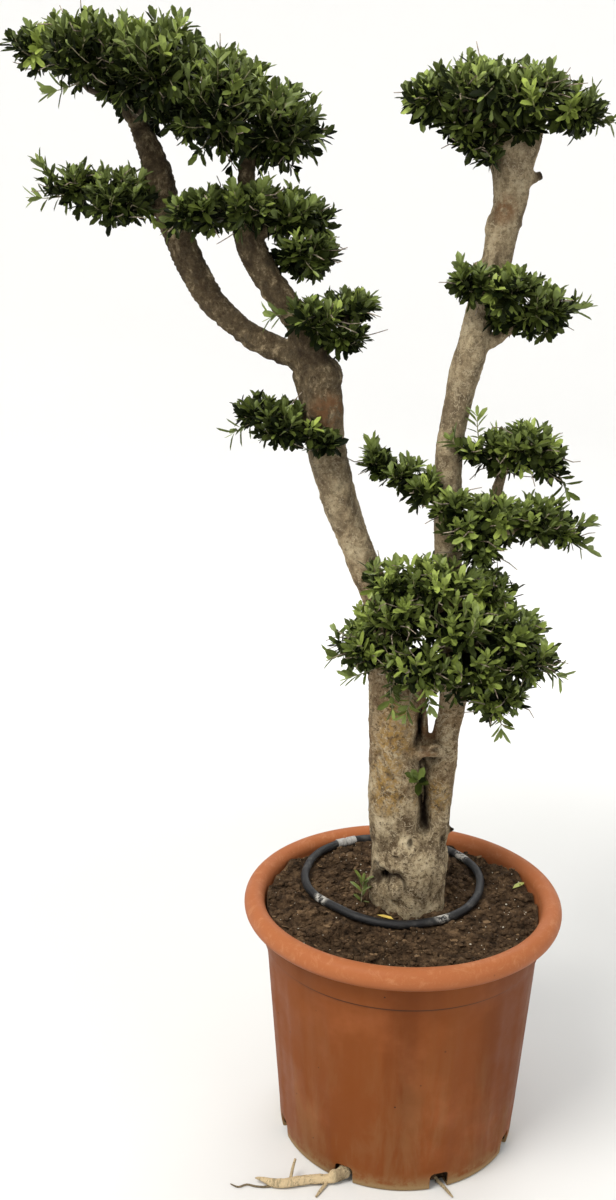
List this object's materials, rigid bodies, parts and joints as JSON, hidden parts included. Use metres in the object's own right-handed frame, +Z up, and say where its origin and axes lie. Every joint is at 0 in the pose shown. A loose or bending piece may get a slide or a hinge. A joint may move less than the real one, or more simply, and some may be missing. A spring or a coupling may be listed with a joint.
{
  "type": "potted olive topiary",
  "caption": "Tall cloud-pruned olive topiary with a split, leaning trunk and clipped pads of foliage, in a round rolled-rim pot of soil with a drip hose looped round the trunk.",
  "frame": {"origin": "centre of the pot's flat base, on the pot's axis", "axes": "+Z up along the pot's axis; -Y towards the front of the tree, and +X to its right as seen from there"},
  "size_m": [1.0451, 0.6, 2.056],
  "materials": {
    "terracotta": "matte moulded plastic the colour of terracotta, dusty at the foot",
    "soil": "dark crumbly potting mix of peat and bark with pale specks",
    "bark": "old grey-beige olive bark, cracked and ridged, with patches of lichen",
    "leaf": "small leathery evergreen leaves with a satin upper side",
    "young_leaf": "fresh light green leaves with a satin upper side",
    "yellow_leaf": "dry yellow leaf, matte",
    "hose": "black extruded polyethylene, satin, with pale lime stains",
    "joiner": "grey moulded plastic, weathered"
  },
  "bodies": {
    "root": {"pot": "terracotta", "soil": "soil", "olive_wood": "bark", "pad_crown_left": "leaf", "pad_left_outer": "leaf", "pad_left_inner": "leaf", "pad_fork": "leaf", "pad_left_small": "leaf", "pad_crown_right": "leaf", "pad_right_upper": "leaf", "pad_right_inner": "leaf", "pad_right_middle": "leaf", "pad_right_outer": "leaf", "pad_skirt": "leaf", "basal_sucker": "young_leaf", "cleft_sprout": "young_leaf", "drip_hose": "hose", "drip_joiner": "joiner", "fallen_leaf_yellow": "yellow_leaf", "fallen_leaf_green": "young_leaf"}
  },
  "joints": []
}
